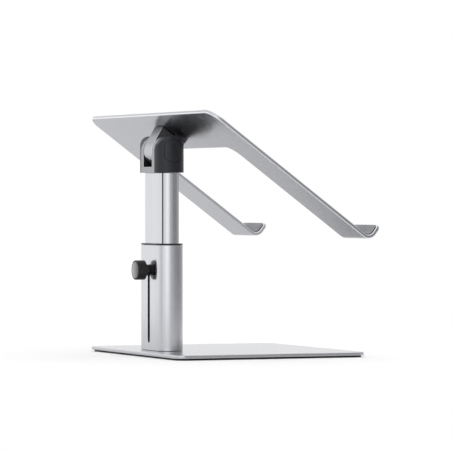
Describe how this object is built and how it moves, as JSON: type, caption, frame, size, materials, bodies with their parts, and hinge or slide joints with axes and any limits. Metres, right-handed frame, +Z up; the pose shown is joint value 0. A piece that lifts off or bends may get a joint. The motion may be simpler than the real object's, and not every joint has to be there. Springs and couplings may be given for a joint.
{
  "type": "laptop stand",
  "caption": "Laptop stand with a flat base plate, a telescopic column locked by a clamp knob, and a tilting U-shaped plate whose two arms end in upturned hooks.",
  "frame": {"origin": "on the desk under the middle of the column, on the underside of the base pad", "axes": "+Z up; +X to the right of a person who sits at the stand; -Y towards that person and the hooks, +Y towards the clamp knob"},
  "size_m": [0.2952, 0.1825, 0.2179],
  "materials": {
    "anodised_aluminium": "bead-blasted and anodised, satin silver",
    "yoke_aluminium": "die-cast and bead-blasted, satin grey",
    "dark_plastic": "moulded, fine satin texture, dark grey",
    "black_plastic": "moulded, satin black",
    "glide_plastic": "moulded acetal, dark",
    "steel": "zinc-plated",
    "base_rubber": "smooth black sheet",
    "grey_silicone": "matt grey silicone"
  },
  "bodies": {
    "base": {"base_plate": "anodised_aluminium", "base_pad": "base_rubber", "column_foot": "steel", "foot_screw_front_left": "steel", "foot_screw_front_right": "steel", "foot_screw_rear_left": "steel", "foot_screw_rear_right": "steel", "outer_tube": "anodised_aluminium", "top_collar": "black_plastic"},
    "mast": {"inner_tube": "anodised_aluminium", "slider_shoe": "glide_plastic", "clamp_nut": "steel", "mast_plug": "yoke_aluminium", "yoke_screw_left": "steel", "yoke_screw_right": "steel", "yoke": "yoke_aluminium", "side_cover_left": "dark_plastic", "side_cover_right": "dark_plastic", "cover_cap_left": "dark_plastic", "cover_cap_right": "dark_plastic", "hinge_bolt": "steel", "hinge_nut": "steel", "disc_spring_left": "steel", "disc_spring_right": "steel"},
    "clamp_washer": {"clamp_washer": "black_plastic"},
    "clamp_screw": {"clamp_knob": "black_plastic", "clamp_stud": "steel", "knob_cap": "anodised_aluminium"},
    "platform": {"support_plate": "anodised_aluminium", "hinge_tongue": "anodised_aluminium", "hinge_bush_left": "glide_plastic", "hinge_bush_right": "glide_plastic", "plate_screw_front_left": "steel", "plate_screw_front_right": "steel", "plate_screw_rear_left": "steel", "plate_screw_rear_right": "steel", "hook_liner_left": "grey_silicone", "hook_liner_right": "grey_silicone", "arm_pad_left": "grey_silicone", "arm_pad_right": "grey_silicone", "rear_pad": "grey_silicone"}
  },
  "joints": [
    {"name": "column_height", "type": "slide", "parent": "base", "child": "mast", "axis": [0, 0, 1], "range_m": [-0.0623, 0]},
    {"name": "plate_tilt", "type": "hinge", "parent": "mast", "child": "platform", "pos_m": [0, 0, 0.1836], "axis": [1, 0, 0], "range_deg": [-36.35, 8]},
    {"name": "clamp_back_off", "type": "slide", "parent": "mast", "child": "clamp_washer", "axis": [0, 1, 0], "range_m": [0, 0.0008]},
    {"name": "clamp_turn", "type": "hinge", "parent": "clamp_washer", "child": "clamp_screw", "pos_m": [0, 0.02, 0.0769], "axis": [0, 1, 0], "range_deg": [0, 360]}
  ],
  "couplings": [
    {"joint": "clamp_turn", "follows": "clamp_back_off", "rad_per_m": 7854}
  ]
}
